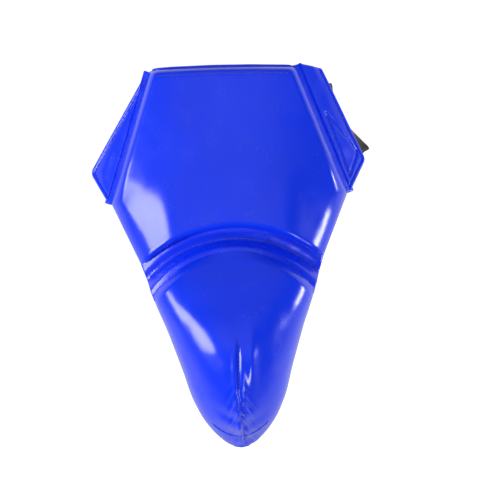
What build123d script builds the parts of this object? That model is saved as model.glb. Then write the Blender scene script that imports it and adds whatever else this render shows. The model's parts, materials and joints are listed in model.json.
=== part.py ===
from build123d import *
from math import asin, atan2, ceil, cos, degrees, radians, sin, sqrt
import os

# Groin protector: a padded belly panel, a hard cup below it on a flexible arch,
# two hip wings on soft creases, an elastic waist belt and two elastic leg straps.
# Frame: origin in the middle of the waist loop, -Y is the front, +Z is up, +X is
# the wearer's left side, which is the closing side of the belt.

os.makedirs("parts", exist_ok=True)

# ---------------------------------------------------------------- materials
skin = 1.2  # vinyl cover
lining = 0.8  # fabric on the wearer's side
thread = 0.7
stitch_length = 2.0
stitch_pitch = 2.8
body_gap = 0.4  # clearance between pieces on different bodies

# ---------------------------------------------------------------- belly pad
pad_top = 46.0  # top of the padding, above the middle of the belt
pad_top_half = 67.0  # half width along the top edge
pad_wide_half = 111.0  # half width at the lower end of the creases
pad_wide_z = -71.0
arch_end_half = 78.0  # where the arch over the cup meets the pad's sides
arch_end_z = -134.0
arch_top_z = -99.0
pad_front = (-108.0, 150.0)  # front-most y and radius of each upright curved layer
pad_middle = (-98.0, 158.0)
board_front = (-89.3, 170.0)
board_back = (-87.3, 170.0)
pad_back = (-86.5, 170.0)
binding_height = 3.0
binding_end = 4.0  # from the end of the binding to the pad's corner
top_seam_drop = 8.0
top_seam_end = 8.0

# ---------------------------------------------------------------- arch and cup
channel_width = 22.0
channel_skin_front = (-96.0, 160.0)
channel_skin_back = (-94.8, 160.0)
cup_corner_half = 74.5  # end of the arch on the cup's side of the channel
cup_corner_z = -158.0
cup_arch_top_z = arch_top_z - channel_width
cup_arch_rise = cup_arch_top_z - cup_corner_z
cup_arch_radius = (cup_corner_half**2 + cup_arch_rise**2) / (2 * cup_arch_rise)
cup_arch_centre_z = cup_arch_top_z - cup_arch_radius
cup_arch_turn = degrees(asin(cup_corner_half / cup_arch_radius))
cup_back_top = -85.0  # back plane of the cup: y at the arch, then sloping back
cup_back_slope = 0.11
cup_tip_z = -302.0
foam_wall = 9.0
shell_wall = 3.0
rim_width = 8.0
rim_depth = 5.0
mouth_shoulder = 22.0  # the mouth's corners, waist and bottom, below its top
mouth_waist = 125.0
mouth_bottom = 141.0
tab_size = (30.0, 15.0)
tab_up_tip = 3.0
crotch_binding_depth = 7.0
crotch_binding_edge = [(32.0, -143.0), (19.5, -159.0)]  # from the mouth's top, in the back plane
tab_thickness = 2.5

# height, half width at the back, half width of the flatter front, front-most y
cup_ribs = [
    (-112.0, 78.0, 62.0, -106.0),
    (-158.0, 74.5, 52.0, -129.0),
    (-192.0, 62.5, 35.0, -143.0),
    (-228.0, 51.0, 22.0, -143.0),
    (-259.0, 41.5, 14.0, -130.0),
    (-280.0, 30.5, 9.0, -111.0),
    (-293.0, 17.0, 5.0, -90.0),
    (cup_tip_z, 7.0, 2.0, -76.0),
]

# ---------------------------------------------------------------- wings
wing_crease_top = (pad_top_half + 1.0, -78.0, 48.0)
wing_crease_low = (pad_wide_half + 1.0, -50.0, pad_wide_z)
wing_tip = (131.0, -29.0, -40.0)
wing_start = 3.5  # bare crease between the hinge line and the padding
wing_half_thickness = 3.0
wing_tip_round = 7.0
wing_seam_inset = 5.0
wing_top_width = {-1: 5.0, 1: 24.0}  # the closing side has a wider top
wing_top_slant = 0.66

# ---------------------------------------------------------------- belt
belt_width = 75.0
belt_thickness = 2.4
belt_hinge_gap = 3.0
patch_thickness = 1.2
hook_length = 24.0
tab_length = 9.0
loop_patch_start = 0.42  # of the way down the crease
belt_root_depth = 24.0
belt_edge_up_tip = 47.0  # middle of the belt, measured up the wing edge from its tip

# middle line from the wearer's right hip round the back, and the outward lean
belt_route = [
    (-107.0, -24.0, -4.0, 33.0),
    (-105.0, 4.0, -2.0, 34.0),
    (-97.0, 36.0, 3.0, 24.0),
    (-71.0, 64.0, 9.0, 15.0),
    (-37.0, 82.0, 13.0, 9.0),
    (0.0, 88.0, 14.0, 8.0),
    (38.0, 83.0, 13.0, 9.0),
    (74.0, 66.0, 9.0, 15.0),
    (102.0, 38.0, 3.0, 24.0),
    (118.0, 4.0, -4.0, 35.0),
    (116.5, -15.0, -5.0, 28.0),
]

# where the belt passes the closing wing's outer edge, behind the wing
belt_edge_point = (109.0, -39.5, -4.0)

# ---------------------------------------------------------------- leg straps
strap_width = 20.0
strap_thickness = 2.0
# route from the pad's lower corner down to the crotch, and the strap's turn
strap_route = [
    (88.5, -57.5, -62.0, 32.0),
    (87.5, -54.0, -80.0, 30.0),
    (80.0, -36.0, -105.0, 24.0),
    (67.0, -17.0, -137.0, 16.0),
    (53.0, -7.0, -175.0, 10.0),
    (40.0, -9.0, -212.0, 6.0),
    (28.0, -24.0, -246.0, 3.0),
    (17.0, -44.0, -270.0, 0.0),
    (11.5, -57.5, -286.0, 0.0),
]
strap_anchor = (88.5, -59.3, -62.0)
strap_anchor_turn = 32.0
strap_patch_size = (24.0, 26.0)

reach = 400.0  # longer than the object in every direction


# ---------------------------------------------------------------- helpers
def arc_y(curve, x):
    """Depth of an upright curved layer at a distance x from the middle."""
    front, radius = curve
    return front + radius - sqrt(radius**2 - x**2)


def curved_band(front, back):
    """Plan view of the space between two upright curved layers."""
    half = 125.0
    with BuildSketch(Plane.XY.offset(-reach / 2)) as band:
        with BuildLine():
            ThreePointArc((-half, arc_y(front, half)), (0, front[0]), (half, arc_y(front, half)))
            Line((half, arc_y(front, half)), (half, arc_y(back, half)))
            ThreePointArc((half, arc_y(back, half)), (0, back[0]), (-half, arc_y(back, half)))
            Line((-half, arc_y(back, half)), (-half, arc_y(front, half)))
        make_face()
    return band.sketch


def pad_outline(inset):
    """Front view of the belly pad, drawn in from its edge."""
    with BuildSketch(Plane.XZ) as face:
        with BuildLine():
            Polyline(
                (-arch_end_half, arch_end_z),
                (-pad_wide_half, pad_wide_z),
                (-pad_top_half, pad_top),
                (pad_top_half, pad_top),
                (pad_wide_half, pad_wide_z),
                (arch_end_half, arch_end_z),
            )
            ThreePointArc((arch_end_half, arch_end_z), (0, arch_top_z), (-arch_end_half, arch_end_z))
        make_face()
        if inset > 0:
            offset(amount=-inset, mode=Mode.REPLACE)
    return face.sketch


def channel_outline(trim):
    """Front view of the arched channel between the belly pad and the cup."""
    radius = cup_arch_radius + trim
    end = Vector(radius * sin(radians(cup_arch_turn)), cup_arch_centre_z + radius * cos(radians(cup_arch_turn)))
    with BuildSketch(Plane.XZ) as face:
        with BuildLine():
            ThreePointArc((arch_end_half, arch_end_z), (0, arch_top_z), (-arch_end_half, arch_end_z))
            Line((-arch_end_half, arch_end_z), (-end.X, end.Y))
            ThreePointArc((-end.X, end.Y), (0, cup_arch_top_z + trim), end)
            Line(end, (arch_end_half, arch_end_z))
        make_face()
    return face.sketch


def cup_back(z):
    """Depth of the cup's sloping back plane at a height."""
    return cup_back_top + (cup_arch_top_z - z) * cup_back_slope


def cup_sections(inset, back_shift, ribs):
    """Ribs of the cup's keel shape, drawn in from its outside, up to its back plane."""
    sections = []
    for z, half, flat, front in ribs:
        back = cup_back(z) + back_shift
        depth = back - front - inset
        side = half - inset
        ridge = max(flat - 0.6 * inset, 0.3 * side)
        with BuildSketch(Plane.XY.offset(z)) as rib:
            with BuildLine():
                Line((side, back), (-side, back))
                Spline(
                    (-side, back),
                    (-0.95 * side, back - 0.4 * depth),
                    (-ridge, back - 0.88 * depth),
                    (0, back - depth),
                    (ridge, back - 0.88 * depth),
                    (0.95 * side, back - 0.4 * depth),
                    (side, back),
                )
            make_face()
        sections.append(rib.sketch)
    return sections


def below_arch(inset):
    """Front view of everything under the cup's arched top edge."""
    radius = cup_arch_radius - inset
    end = Vector(radius * sin(radians(62)), cup_arch_centre_z + radius * cos(radians(62)))
    bottom = cup_tip_z - 20
    with BuildSketch(Plane.XZ) as face:
        with BuildLine():
            ThreePointArc((-end.X, end.Y), (0, cup_arch_top_z - inset), end)
            Polyline(end, (end.X, bottom), (-end.X, bottom), (-end.X, end.Y))
        make_face()
    return face.sketch


def hollow_outline(grow):
    """Mouth of the cup's hollow in its back plane, drawn outwards by grow."""
    high = (mouth_half + grow, -mouth_shoulder)
    low = (0.46 * mouth_half + grow, -mouth_waist)
    with BuildSketch(cup_back_plane) as face:
        with BuildLine():
            ThreePointArc((-high[0], high[1]), (0, grow), high)
            Line(high, low)
            ThreePointArc(low, (0, -mouth_bottom - grow), (-low[0], low[1]))
            Line((-low[0], low[1]), (-high[0], high[1]))
        make_face()
    return face.sketch


def wing_points(side):
    """Crease ends and tip of a wing."""
    return [Vector(side * x, y, z) for x, y, z in (wing_crease_top, wing_crease_low, wing_tip)]


def wing_plane(side):
    """Middle plane of a wing: x along the crease, y away from it, z outwards."""
    top, low, tip = wing_points(side)
    outwards = (low - top).cross(tip - top) * side
    return Plane(origin=top, x_dir=(low - top) * side, z_dir=outwards)


def wing_corners(side):
    """Corners of a wing in its own plane: inner top, outer top, tip, inner low."""
    plane = wing_plane(side)
    top, low, tip = [plane.to_local_coords(point) for point in wing_points(side)]
    edge = tip - top
    run = edge.length
    outer_top = top + edge * (wing_top_width[side] / run) * wing_top_slant + Vector(0, wing_top_width[side])
    return [
        Vector(top.X, wing_start),
        Vector(outer_top.X, outer_top.Y),
        Vector(tip.X, tip.Y),
        Vector(low.X, wing_start),
    ]


def wing_outline(side, height, inset):
    """Wing shape with a rounded tip, on a plane at a height above its middle."""
    corners = wing_corners(side)
    with BuildSketch(wing_plane(side).offset(height)) as face:
        with BuildLine():
            Polyline(*corners, close=True)
        make_face()
        fillet(face.vertices().sort_by_distance(corners[2])[0], wing_tip_round)
        if inset > 0:
            offset(amount=-inset, mode=Mode.REPLACE)
    return face.sketch


def stitch_run(start, end):
    """Flat stitches between two points of the sketch in hand."""
    run = end - start
    count = ceil(run.length / stitch_pitch)
    turn = degrees(atan2(run.Y, run.X))
    with Locations(*[start + run * ((i + 0.5) / count) for i in range(count)]):
        Rectangle(stitch_length, thread, rotation=turn)


def strip_plane(points, index, across):
    """Section plane of a strap at one point of its route, with x across the strap."""
    before = Vector(*points[max(index - 1, 0)])
    after = Vector(*points[min(index + 1, len(points) - 1)])
    along = (after - before).normalized()
    flat = (across - along * across.dot(along)).normalized()
    return Plane(origin=Vector(*points[index]), x_dir=flat, z_dir=along)


def strip_sections(planes, width, thickness):
    """Cross-sections of an elastic strip at its section planes."""
    sections = []
    for plane in planes:
        with BuildSketch(plane) as section:
            Rectangle(width, thickness)
        sections.append(section.sketch)
    return sections


# ---------------------------------------------------------------- belly pad
core_front = (pad_front[0] + skin, pad_front[1] - skin)
core_back = (pad_back[0] + reach / 80, pad_back[1])
with BuildPart() as pad_core:
    # space inside the cover, not a piece of its own
    extrude(pad_outline(skin), amount=reach, both=True)
    extrude(curved_band(core_front, core_back), amount=reach, mode=Mode.INTERSECT)

with BuildPart() as belly_cover:
    extrude(pad_outline(0), amount=reach, both=True)
    extrude(curved_band(pad_front, board_back), amount=reach, mode=Mode.INTERSECT)
    add(pad_core.part, mode=Mode.SUBTRACT)
belly_cover.part.label = "belly_cover"
export_step(belly_cover.part, "parts/belly_cover.step")

before_front = (pad_front[0] - reach / 80, pad_front[1])
with BuildPart() as belly_foam_outer:
    add(pad_core.part)
    extrude(curved_band(before_front, pad_middle), amount=reach, mode=Mode.INTERSECT)
belly_foam_outer.part.label = "belly_foam_outer"
export_step(belly_foam_outer.part, "parts/belly_foam_outer.step")

with BuildPart() as belly_foam_inner:
    add(pad_core.part)
    extrude(curved_band(pad_middle, board_front), amount=reach, mode=Mode.INTERSECT)
belly_foam_inner.part.label = "belly_foam_inner"
export_step(belly_foam_inner.part, "parts/belly_foam_inner.step")

with BuildPart() as base_board:
    add(pad_core.part)
    extrude(curved_band(board_front, board_back), amount=reach, mode=Mode.INTERSECT)
base_board.part.label = "base_board"
export_step(base_board.part, "parts/base_board.step")

with BuildPart() as belly_lining:
    extrude(pad_outline(0), amount=reach, both=True)
    extrude(curved_band(board_back, pad_back), amount=reach, mode=Mode.INTERSECT)
belly_lining.part.label = "belly_lining"
export_step(belly_lining.part, "parts/belly_lining.step")

with BuildPart() as top_binding:
    extrude(curved_band((pad_front[0] + 1, pad_front[1]), pad_back), amount=reach)
    with BuildSketch(Plane.XZ):
        with Locations((0, pad_top + binding_height / 2)):
            Rectangle(2 * (pad_top_half - binding_end), binding_height)
    extrude(amount=reach, both=True, mode=Mode.INTERSECT)
top_binding.part.label = "top_binding"
export_step(top_binding.part, "parts/top_binding.step")

with BuildPart() as top_stitching:
    row_half = pad_top_half - top_seam_end
    count = int(2 * row_half / stitch_pitch)
    for i in range(count):
        x = -row_half + (i + 0.5) * 2 * row_half / count
        slope = degrees(atan2(x, pad_front[1]))
        with Locations(Location((x, arc_y(pad_front, x), pad_top - top_seam_drop), (0, 0, slope))):
            Box(stitch_length, thread, thread)
top_stitching.part.label = "top_stitching"
export_step(top_stitching.part, "parts/top_stitching.step")

# ---------------------------------------------------------------- arch channel
with BuildPart() as arch_channel:
    extrude(channel_outline(body_gap), amount=reach, both=True)
    extrude(curved_band(channel_skin_front, channel_skin_back), amount=reach, mode=Mode.INTERSECT)
arch_channel.part.label = "arch_channel"
export_step(arch_channel.part, "parts/arch_channel.step")

seam_half = (arch_end_half + cup_corner_half) / 2
seam_end_z = (arch_end_z + cup_corner_z) / 2
seam_top_z = (arch_top_z + cup_arch_top_z) / 2
seam_rise = seam_top_z - seam_end_z
seam_radius = (seam_half**2 + seam_rise**2) / (2 * seam_rise)

with BuildPart() as arch_stitching:
    sweep_angle = degrees(atan2(seam_half, seam_radius - seam_rise)) - 2
    count = int(2 * radians(sweep_angle) * seam_radius / stitch_pitch)
    for i in range(count):
        turn = -sweep_angle + (i + 0.5) * 2 * sweep_angle / count
        x = seam_radius * sin(radians(turn))
        z = seam_top_z - seam_radius * (1 - cos(radians(turn)))
        with Locations(Location((x, arc_y(channel_skin_front, x), z), (0, turn, 0))):
            Box(stitch_length, thread, thread)
arch_stitching.part.label = "arch_stitching"
export_step(arch_stitching.part, "parts/arch_stitching.step")

# ---------------------------------------------------------------- cup
short_ribs = cup_ribs[:-2]
mouth_top_z = cup_arch_top_z - skin - foam_wall - shell_wall
mouth_half = cup_corner_half - skin - foam_wall - shell_wall
cup_back_plane = Plane(
    origin=(0, cup_back(mouth_top_z), mouth_top_z),
    x_dir=(-1, 0, 0),
    z_dir=(0, 1, cup_back_slope),
)

with BuildPart() as cup_space:
    # everything inside the vinyl cover, not a piece of its own
    loft(sections=cup_sections(skin, 4, cup_ribs))
    extrude(below_arch(skin), amount=reach, both=True, mode=Mode.INTERSECT)

with BuildPart() as shell_space:
    # everything inside the foam
    loft(sections=cup_sections(skin + foam_wall, 4, short_ribs))
    extrude(below_arch(skin + foam_wall), amount=reach, both=True, mode=Mode.INTERSECT)

with BuildPart() as hollow_space:
    # everything inside the hard shell
    loft(sections=cup_sections(skin + foam_wall + shell_wall, 4, short_ribs))
    extrude(below_arch(skin + foam_wall + shell_wall), amount=reach, both=True, mode=Mode.INTERSECT)

with BuildPart() as lining_space:
    # the open hollow inside the lining
    loft(sections=cup_sections(skin + foam_wall + shell_wall + lining, 4, short_ribs))
    extrude(below_arch(skin + foam_wall + shell_wall + lining), amount=reach, both=True, mode=Mode.INTERSECT)

with BuildPart() as cup_cover:
    loft(sections=cup_sections(0, 0, cup_ribs))
    extrude(below_arch(0), amount=reach, both=True, mode=Mode.INTERSECT)
    add(cup_space.part, mode=Mode.SUBTRACT)
cup_cover.part.label = "cup_cover"
export_step(cup_cover.part, "parts/cup_cover.step")

with BuildPart() as behind_cup:
    # space behind the cup's back plane, used to trim the inner layers
    with BuildSketch(cup_back_plane):
        Rectangle(reach, reach)
    extrude(amount=reach / 4)

with BuildPart() as cup_foam:
    add(cup_space.part)
    add(shell_space.part, mode=Mode.SUBTRACT)
    add(behind_cup.part, mode=Mode.SUBTRACT)
cup_foam.part.label = "cup_foam"
export_step(cup_foam.part, "parts/cup_foam.step")

with BuildPart() as hard_cup:
    add(shell_space.part)
    add(hollow_space.part, mode=Mode.SUBTRACT)
    add(behind_cup.part, mode=Mode.SUBTRACT)
hard_cup.part.label = "hard_cup"
export_step(hard_cup.part, "parts/hard_cup.step")

with BuildPart() as cup_lining:
    add(hollow_space.part)
    add(lining_space.part, mode=Mode.SUBTRACT)
    add(behind_cup.part, mode=Mode.SUBTRACT)
cup_lining.part.label = "cup_lining"
export_step(cup_lining.part, "parts/cup_lining.step")

with BuildPart() as cup_envelope:
    # outside of the cup, not a piece of its own
    loft(sections=cup_sections(0, 0, cup_ribs))

with BuildPart() as cup_back_panel:
    loft(sections=cup_sections(0, lining, cup_ribs))
    extrude(below_arch(0), amount=reach, both=True, mode=Mode.INTERSECT)
    add(behind_cup.part, mode=Mode.INTERSECT)
    extrude(hollow_outline(rim_width), amount=rim_depth, both=True, mode=Mode.SUBTRACT)
cup_back_panel.part.label = "cup_back_panel"
export_step(cup_back_panel.part, "parts/cup_back_panel.step")

with BuildPart() as cup_rim:
    extrude(hollow_outline(rim_width), amount=rim_depth)
    extrude(hollow_outline(1), amount=rim_depth, mode=Mode.SUBTRACT)
cup_rim.part.label = "cup_rim"
export_step(cup_rim.part, "parts/cup_rim.step")

tip_drop = mouth_top_z - cup_tip_z
with BuildPart() as crotch_binding:
    with BuildSketch(cup_back_plane.offset(-crotch_binding_depth)):
        with BuildLine():
            Spline(*[(-x, y) for x, y in crotch_binding_edge], (0, -tip_drop - 2.5), *crotch_binding_edge[::-1])
            Line(crotch_binding_edge[0], (-crotch_binding_edge[0][0], crotch_binding_edge[0][1]))
        make_face()
    extrude(amount=crotch_binding_depth + lining)
    add(cup_envelope.part, mode=Mode.SUBTRACT)
    add(cup_back_panel.part, mode=Mode.SUBTRACT)
    add(cup_rim.part, mode=Mode.SUBTRACT)
crotch_binding.part.label = "crotch_binding"
export_step(crotch_binding.part, "parts/crotch_binding.step")

with BuildPart() as crotch_tab:
    with BuildSketch(cup_back_plane.offset(lining)):
        with Locations((0, -tip_drop + tab_up_tip + tab_size[1] / 2)):
            RectangleRounded(*tab_size, 4)
    extrude(amount=tab_thickness)
crotch_tab.part.label = "crotch_tab"
export_step(crotch_tab.part, "parts/crotch_tab.step")

with BuildPart() as cup_seam_stitching:
    seam_ribs = [(front, z) for z, half, flat, front in cup_ribs[2:-1]]
    seam_line = Edge.make_spline([Vector(0, front, z) for front, z in seam_ribs])
    count = int(seam_line.length / stitch_pitch)
    for i in range(count):
        with Locations(seam_line.position_at((i + 0.5) / count)):
            Box(thread, thread, stitch_length)
cup_seam_stitching.part.label = "cup_seam_stitching"
export_step(cup_seam_stitching.part, "parts/cup_seam_stitching.step")

# ---------------------------------------------------------------- wings
for side, name in ((-1, "wing_left"), (1, "wing_right")):
    with BuildPart() as wing_cover:
        extrude(wing_outline(side, wing_half_thickness - skin, 0), amount=skin)
    wing_cover.part.label = name + "_cover"
    export_step(wing_cover.part, "parts/" + name + "_cover.step")

    with BuildPart() as wing_foam:
        foam_depth = 2 * wing_half_thickness - skin - lining
        extrude(wing_outline(side, lining - wing_half_thickness, 1.5), amount=foam_depth)
    wing_foam.part.label = name + "_foam"
    export_step(wing_foam.part, "parts/" + name + "_foam.step")

    with BuildPart() as wing_lining:
        extrude(wing_outline(side, -wing_half_thickness, 0), amount=lining)
    wing_lining.part.label = name + "_lining"
    export_step(wing_lining.part, "parts/" + name + "_lining.step")

    inner_top, outer_top, tip, inner_low = wing_corners(side)
    edge_way = (tip - outer_top).normalized()
    low_way = (inner_low - tip).normalized()
    edge_in = edge_way.rotate(Axis.Z, -90 * side) * wing_seam_inset
    low_in = low_way.rotate(Axis.Z, -90 * side) * wing_seam_inset
    seam_corner = tip - edge_way * 9 + edge_in
    with BuildPart() as wing_stitching:
        with BuildSketch(wing_plane(side).offset(wing_half_thickness)):
            stitch_run(outer_top + edge_way * 5 + edge_in, seam_corner)
            stitch_run(seam_corner, inner_low + low_in - low_way * 4)
        extrude(amount=thread)
    wing_stitching.part.label = name + "_stitching"
    export_step(wing_stitching.part, "parts/" + name + "_stitching.step")

# ---------------------------------------------------------------- closing side
close_plane = wing_plane(1)
inner_top, outer_top, tip, inner_low = wing_corners(1)
patch_corners = [
    inner_top + (inner_low - inner_top) * loop_patch_start + Vector(0, 6),
    tip + (outer_top - tip).normalized() * 12 - Vector(0, 7),
    inner_low + Vector(-13, 5),
]

with BuildPart() as loop_patch:
    with BuildSketch(close_plane.offset(-wing_half_thickness)) as patch_face:
        with BuildLine():
            Polyline(*patch_corners, close=True)
        make_face()
        offset(amount=4)
    extrude(amount=-patch_thickness)
loop_patch.part.label = "loop_patch"
export_step(loop_patch.part, "parts/loop_patch.step")

with BuildPart() as loop_patch_stitching:
    with BuildSketch(close_plane.offset(wing_half_thickness)):
        for i in range(3):
            stitch_run(patch_corners[i - 1], patch_corners[i])
    extrude(amount=thread)
loop_patch_stitching.part.label = "loop_patch_stitching"
export_step(loop_patch_stitching.part, "parts/loop_patch_stitching.step")

# ---------------------------------------------------------------- belt
root_plane = wing_plane(-1)
root_height = -wing_half_thickness - belt_thickness / 2
inner_top, outer_top, tip, inner_low = wing_corners(-1)
edge_way = (tip - outer_top).normalized()
edge_out = edge_way.rotate(Axis.Z, -90)
edge_middle = tip - edge_way * belt_edge_up_tip
root_half = edge_way * (belt_width / 2 + 2)

with BuildPart() as belt_root:
    with BuildSketch(root_plane.offset(-wing_half_thickness)):
        with BuildLine():
            Polyline(
                edge_middle - root_half,
                edge_middle + root_half,
                edge_middle + root_half - edge_out * belt_root_depth,
                edge_middle - root_half - edge_out * belt_root_depth,
                close=True,
            )
        make_face()
    extrude(amount=-belt_thickness)
    extrude(wing_outline(-1, -wing_half_thickness, 0.5), amount=-belt_thickness, mode=Mode.INTERSECT)
belt_root.part.label = "belt_root"
export_step(belt_root.part, "parts/belt_root.step")

hinge_point = root_plane.from_local_coords(edge_middle + edge_out * belt_hinge_gap + Vector(0, 0, root_height))
edge_world = root_plane.from_local_coords(edge_way) - root_plane.origin
out_world = root_plane.from_local_coords(edge_out) - root_plane.origin

patch_gap = 2 * patch_thickness + body_gap
hook_height = -wing_half_thickness - patch_gap - belt_thickness / 2
level_world = Vector(0, 0, 1).cross(close_plane.z_dir)
level_way = close_plane.to_local_coords(close_plane.origin + level_world).normalized()
hook_across = level_way.rotate(Axis.Z, -90)


def hook_place(inboard, height):
    """Section plane of the belt's end, behind the closing wing, inboard of its edge."""
    centre = hook_edge - level_way * inboard
    origin = close_plane.from_local_coords(Vector(centre.X, centre.Y, height))
    across = close_plane.from_local_coords(hook_across) - close_plane.origin
    way = close_plane.from_local_coords(-level_way) - close_plane.origin
    return Plane(origin=origin, x_dir=across, z_dir=way)


hook_edge = close_plane.to_local_coords(Vector(*belt_edge_point))
belt_points = [hinge_point] + [point[:3] for point in belt_route] + [hook_place(0, hook_height).origin]
belt_planes = [Plane(origin=hinge_point, x_dir=edge_world, z_dir=out_world)]
for i, (x, y, z, lean) in enumerate(belt_route):
    way = (Vector(*belt_points[i + 2]) - Vector(*belt_points[i])).normalized()
    outwards = Vector(-way.Y, way.X, 0).normalized()
    across = Vector(0, 0, -cos(radians(lean))) + outwards * sin(radians(lean))
    belt_planes.append(strip_plane(belt_points, i + 1, across))
belt_planes += [hook_place(0, hook_height), hook_place(hook_length, hook_height)]

with BuildPart() as waist_elastic:
    loft(sections=strip_sections(belt_planes, belt_width, belt_thickness), ruled=True)
waist_elastic.part.label = "waist_elastic"
export_step(waist_elastic.part, "parts/waist_elastic.step")

hook_layer = hook_height + (belt_thickness + patch_thickness) / 2
with BuildPart() as hook_patch:
    hook_planes = [hook_place(2, hook_layer), hook_place(hook_length - 1, hook_layer)]
    loft(sections=strip_sections(hook_planes, belt_width - 6, patch_thickness))
hook_patch.part.label = "hook_patch"
export_step(hook_patch.part, "parts/hook_patch.step")

with BuildPart() as belt_end_tab:
    tab_planes = [hook_place(hook_length, hook_height), hook_place(hook_length + tab_length, hook_height)]
    loft(sections=strip_sections(tab_planes, belt_width - 22, belt_thickness + 0.4))
belt_end_tab.part.label = "belt_end_tab"
export_step(belt_end_tab.part, "parts/belt_end_tab.step")

with BuildPart() as root_stitching:
    with BuildSketch(root_plane.offset(-wing_half_thickness - belt_thickness)):
        row_start = edge_middle + root_half * 0.9 - edge_out * 5
        row_end = edge_middle - root_half * 0.35 - edge_out * 5
        stitch_run(row_start, row_end)
        stitch_run(row_start - edge_out * 14, row_end - edge_out * 14)
        stitch_run(row_start, row_end - edge_out * 14)
    extrude(amount=-thread)
root_stitching.part.label = "root_stitching"
export_step(root_stitching.part, "parts/root_stitching.step")

# ---------------------------------------------------------------- leg straps
for side, name in ((-1, "leg_strap_left"), (1, "leg_strap_right")):
    strap_points = [(side * x, y, z) for x, y, z, turn in strap_route]
    strap_planes = []
    for i, (x, y, z, turn) in enumerate(strap_route):
        across = Vector(cos(radians(turn)), side * sin(radians(turn)), 0)
        strap_planes.append(strip_plane(strap_points, i, across))
    with BuildPart() as leg_strap:
        loft(sections=strip_sections(strap_planes, strap_width, strap_thickness))
    leg_strap.part.label = name
    export_step(leg_strap.part, "parts/" + name + ".step")

    anchor = Vector(side * strap_anchor[0], strap_anchor[1], strap_anchor[2])
    with BuildPart() as strap_patch:
        patch_turn = (side * sin(radians(strap_anchor_turn)), -cos(radians(strap_anchor_turn)), 0)
        with BuildSketch(Plane(origin=anchor, x_dir=(0, 0, 1), z_dir=patch_turn)):
            RectangleRounded(*strap_patch_size, 3)
        extrude(amount=patch_thickness)
    strap_patch.part.label = name + "_patch"
    export_step(strap_patch.part, "parts/" + name + "_patch.step")
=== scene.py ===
import json
from math import atan2, cos, hypot, pi, radians, sin

import bmesh
import bpy
import numpy as np
from mathutils import Matrix, Vector, noise


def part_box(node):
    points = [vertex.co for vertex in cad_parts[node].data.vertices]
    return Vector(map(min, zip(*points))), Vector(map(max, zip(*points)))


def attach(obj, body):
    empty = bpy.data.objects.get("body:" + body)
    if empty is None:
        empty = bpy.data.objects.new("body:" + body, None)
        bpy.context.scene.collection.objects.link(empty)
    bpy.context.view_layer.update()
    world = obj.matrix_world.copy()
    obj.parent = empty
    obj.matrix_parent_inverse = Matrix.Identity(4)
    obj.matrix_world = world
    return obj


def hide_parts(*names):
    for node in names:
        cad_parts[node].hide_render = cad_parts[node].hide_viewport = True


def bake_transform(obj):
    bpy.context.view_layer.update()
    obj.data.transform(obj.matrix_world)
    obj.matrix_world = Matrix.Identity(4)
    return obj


# Groin protector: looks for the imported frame. Shapes are worked out in millimetres
# in the frame's axes and written to the meshes in metres.

MM = 0.001
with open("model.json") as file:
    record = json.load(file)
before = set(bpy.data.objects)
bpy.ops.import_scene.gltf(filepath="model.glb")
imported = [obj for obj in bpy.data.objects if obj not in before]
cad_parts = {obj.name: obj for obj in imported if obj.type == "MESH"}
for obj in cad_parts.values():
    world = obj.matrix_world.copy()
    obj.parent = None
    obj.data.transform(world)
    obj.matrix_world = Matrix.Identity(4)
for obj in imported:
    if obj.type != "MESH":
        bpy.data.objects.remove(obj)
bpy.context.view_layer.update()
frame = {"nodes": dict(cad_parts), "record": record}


# ---------------- sizes
def span(node):
    """Lowest and highest corner of a CAD node, in millimetres."""
    return [np.array(corner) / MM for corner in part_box(node)]


pad_low, pad_high = span("belly_cover")
channel_low = span("arch_channel")[0]
cup_low, cup_high = span("cup_cover")
pad_top = pad_high[2] + 1.0
pad_wide_half = pad_high[0]
arch_end_z = pad_low[2]
cup_corner_z = channel_low[2]
cup_tip_z = cup_low[2]
cup_top_z = cup_high[2]

pad_top_half = 67.0
pad_wide_z = -71.0
arch_end_half = 82.5
arch_top_z = -101.5
cup_corner_half = 74.5
pad_front = (pad_low[1], 150.0)  # front-most y and radius of an upright curved layer
pad_flat = (pad_low[1], 260.0)  # the padding's flatter upper middle
pad_turn = (46.0, 66.0)  # half widths between which the lower padding turns to the hips
pad_hip_slope = 0.60
top_lean = 0.025  # the top edge drops to the closing side
top_seam_drop = 7.5
pad_seam = (-91.5, 168.0)
pad_rear = (-87.2, 170.0)
pad_depth = 20.8
pad_layers_inset = 5.0
channel_face = (-96.0, 160.0)
cup_back_top = -85.0
cup_back_slope = 0.11
channel_thickness = 2.4
channel_seam = 0.4  # share of the way from the pad to the cup
cup_skin_thickness = 2.2
cup_channel_depth = 14.0
cup_mouth_inset = 13.2
cup_seam_top_z = -200.0
cup_seam_low_z = -293.0
tip_binding_half = 26.0
tip_binding_top_z = -289.0
# height, half width at the back, half width of the flatter front, front-most y
cup_ribs = np.array([
    (-112.0, 78.0, 62.0, -106.0),
    (-158.0, 74.5, 52.0, -129.0),
    (-192.0, 62.5, 35.0, -143.0),
    (-228.0, 51.0, 22.0, -143.0),
    (-259.0, 41.5, 14.0, -130.0),
    (-280.0, 30.5, 9.0, -111.0),
    (-293.0, 19.5, 5.0, -90.0),
    (-299.5, 11.5, 3.0, -80.0),
    (-303.5, 2.5, 1.0, -76.0),
])
crease_top = (68.0, -78.0, 48.0)
crease_low = (112.0, -50.0, -71.0)
wing_tip = (131.0, -29.0, -40.0)
wing_start = 3.5
wing_half_thickness = 3.0
wing_seam_inset = 5.0
wing_tip_radius = 9.0
wing_top_width = {-1: 2.0, 1: 24.0}
wing_top_slant = 0.66
wing_names = {-1: "wing_left", 1: "wing_right"}
belt_width = 75.0
belt_thickness = 2.4
belt_hinge_gap = 3.0
belt_edge_up_tip = 47.0
belt_root_depth = 24.0
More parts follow.
